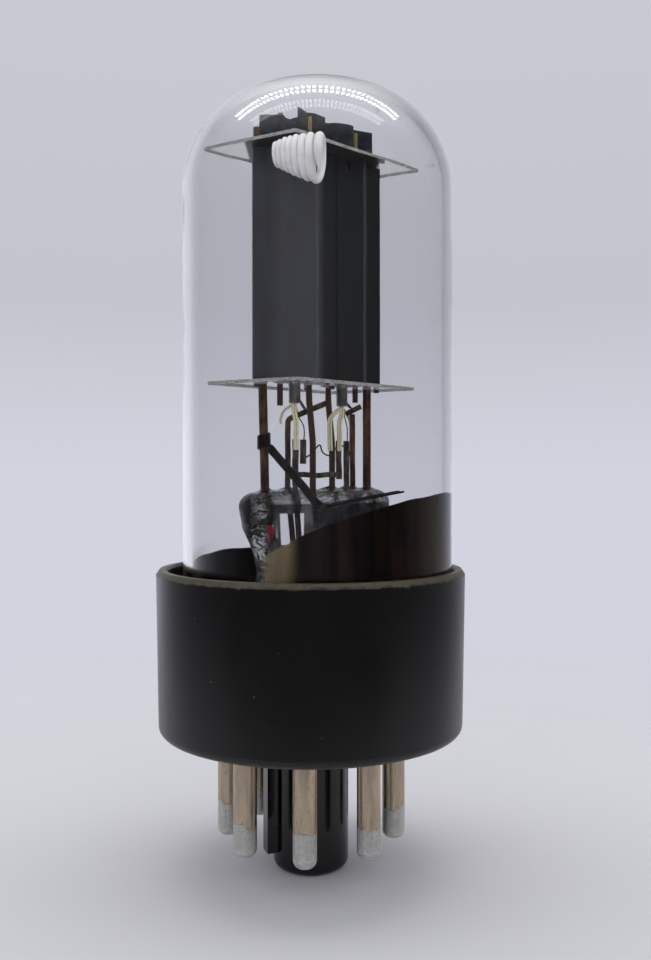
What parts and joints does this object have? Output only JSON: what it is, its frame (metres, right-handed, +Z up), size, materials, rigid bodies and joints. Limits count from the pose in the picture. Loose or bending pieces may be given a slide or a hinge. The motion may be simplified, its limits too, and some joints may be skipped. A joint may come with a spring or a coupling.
{
  "type": "vacuum tube",
  "caption": "Glass octal-base double triode: black moulded base with contact pins and keyed spigot, clear tubular bulb over blackened anodes, micas, leads and getter mirror",
  "frame": {"origin": "centre of the locating spigot's lower face, on the base's axis", "axes": "+Z up along the base's axis towards the crown of the bulb, +X to the right and +Y to the back when the tube is seen as in the picture, with pin 2 at the front"},
  "size_m": [0.0322, 0.0322, 0.0818],
  "materials": {
    "phenolic": "satin black moulded phenolic, fine scratches, worn rim",
    "pin_nickel": "drawn nickel-plated brass, vertical rub marks",
    "solder": "dull tin-lead solder",
    "cement": "dark brown basing cement",
    "bulb_glass": "clear soft glass",
    "stem_glass": "clear pressed glass, slightly grey",
    "dumet": "red oxidised copper-clad seal wire",
    "copper_wire": "bare copper lead",
    "oxidised_rod": "copper-plated rod, oxidised brown",
    "mica": "split mica, pale grey-brown, translucent",
    "carbonised_sheet": "carbon-blackened steel sheet, satin",
    "nickel_sleeve": "dull nickel tube",
    "heater_coat": "cream alumina coating",
    "nickel_tape": "grey-brown nickel tape",
    "dark_wire": "dark nickel wire and tab",
    "grid_wire": "fine grid wire",
    "grid_rod_copper": "gold to brown copper rod",
    "fin_sheet": "blackened copper sheet, blue-grey sheen",
    "getter_metal": "dark grey iron strip",
    "getter_mirror": "black-brown getter mirror with a fading edge",
    "white_coat": "off-white fired alumina coating on wire"
  },
  "bodies": {
    "root": {"base_shell": "phenolic", "contact_pin_1": "pin_nickel", "contact_pin_2": "pin_nickel", "contact_pin_3": "pin_nickel", "contact_pin_4": "pin_nickel", "contact_pin_5": "pin_nickel", "contact_pin_6": "pin_nickel", "contact_pin_7": "pin_nickel", "contact_pin_8": "pin_nickel", "pin_solder_tips": "solder", "base_cement": "cement", "glass_bulb": "bulb_glass", "glass_stem": "stem_glass", "exhaust_tube": "stem_glass", "dumet_seals": "dumet", "base_wire_1": "copper_wire", "base_wire_2": "copper_wire", "base_wire_3": "copper_wire", "base_wire_4": "copper_wire", "base_wire_5": "copper_wire", "base_wire_6": "copper_wire", "base_wire_7": "copper_wire", "base_wire_8": "copper_wire", "left_support_rod": "oxidised_rod", "right_support_rod": "oxidised_rod", "upper_mica": "mica", "lower_mica": "mica", "left_anode_front": "carbonised_sheet", "left_anode_back": "carbonised_sheet", "right_anode_front": "carbonised_sheet", "right_anode_back": "carbonised_sheet", "left_cathode": "nickel_sleeve", "right_cathode": "nickel_sleeve", "left_heater": "heater_coat", "right_heater": "heater_coat", "left_heater_tapes": "nickel_tape", "right_heater_tapes": "nickel_tape", "heater_link_bar": "nickel_tape", "heater_link_wire": "dark_wire", "left_grid_winding": "grid_wire", "right_grid_winding": "grid_wire", "left_grid_rod_left": "grid_rod_copper", "left_grid_rod_right": "grid_rod_copper", "right_grid_rod_left": "grid_rod_copper", "right_grid_rod_right": "grid_rod_copper", "left_grid_fin_left": "fin_sheet", "left_grid_fin_right": "fin_sheet", "right_grid_fin_left": "fin_sheet", "right_grid_fin_right": "fin_sheet", "left_cathode_lead": "oxidised_rod", "right_cathode_lead": "oxidised_rod", "left_cathode_tab": "dark_wire", "right_cathode_tab": "dark_wire", "getter_strap": "getter_metal", "getter_trough": "getter_metal", "getter_flash": "getter_mirror", "mica_spring": "white_coat"}
  },
  "joints": []
}
